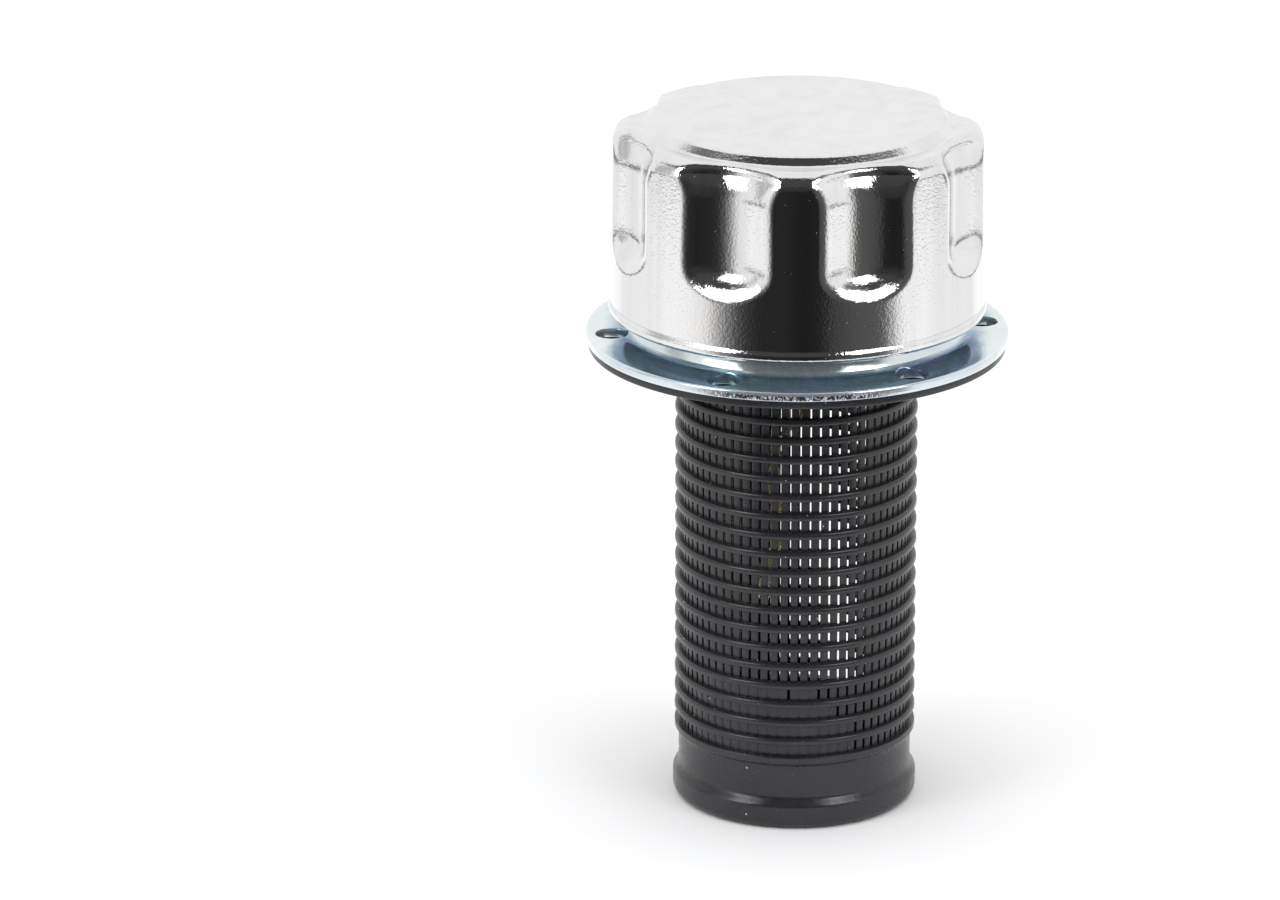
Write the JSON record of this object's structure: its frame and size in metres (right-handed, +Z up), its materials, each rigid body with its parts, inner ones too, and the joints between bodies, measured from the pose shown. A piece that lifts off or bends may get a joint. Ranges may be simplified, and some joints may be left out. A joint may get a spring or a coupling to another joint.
{
  "type": "tank filler strainer",
  "caption": "Filler strainer for an oil tank: slotted plastic basket under a bolted round flange, closed by a chromed bayonet breather cap held by a chain.",
  "frame": {"origin": "centre of the bolt circle on the underside of the basket's rim, the face that lies on the tank", "axes": "+Z up along the basket's axis towards the cap, front is -Y"},
  "size_m": [0.083, 0.083, 0.1398],
  "materials": {
    "basket_plastic": "moulded charcoal plastic, semi-gloss, fine dust specks",
    "blue_zinc": "bright blue zinc plate with a faint iridescence",
    "cap_chrome": "bright chrome on pressed steel, slight orange peel",
    "plain_zinc": "plain zinc plate, rolled sheet",
    "filter_paper": "resin-treated pleated paper",
    "felt": "pressed grey felt",
    "gasket_rubber": "black nitrile rubber",
    "spring_steel": "drawn spring wire",
    "chain_brass": "brass-plated steel wire"
  },
  "bodies": {
    "root": {"strainer_basket": "basket_plastic", "bayonet_flange": "blue_zinc"},
    "chain": {"chain_swivel": "chain_brass", "chain_links": "chain_brass", "retaining_bar": "chain_brass"},
    "cap": {"cap_shell": "cap_chrome", "closing_plate": "plain_zinc", "filter_lower_disc": "plain_zinc", "filter_upper_disc": "plain_zinc", "filter_paper": "filter_paper", "filter_core": "plain_zinc", "felt_ring": "felt", "cap_gasket": "gasket_rubber", "lock_spring": "spring_steel", "spring_washer": "plain_zinc", "spacer_sleeve": "plain_zinc", "rivet_washer": "plain_zinc", "centre_rivet": "plain_zinc", "swivel_bush": "chain_brass"},
    "lock": {"locking_plate": "plain_zinc"}
  },
  "joints": [
    {"name": "cap_lift", "type": "slide", "parent": "root", "child": "chain", "axis": [0, 0, 1], "range_m": [0, 0.047]},
    {"name": "cap_turn", "type": "hinge", "parent": "chain", "child": "cap", "pos_m": [0, 0, 0], "axis": [0, 0, -1], "range_deg": [0, 60]},
    {"name": "lock_travel", "type": "slide", "parent": "cap", "child": "lock", "axis": [0, 0, -1], "range_m": [0, 0.001], "stiffness_N_per_m": 1500, "deforming": ["lock_spring"]}
  ]
}
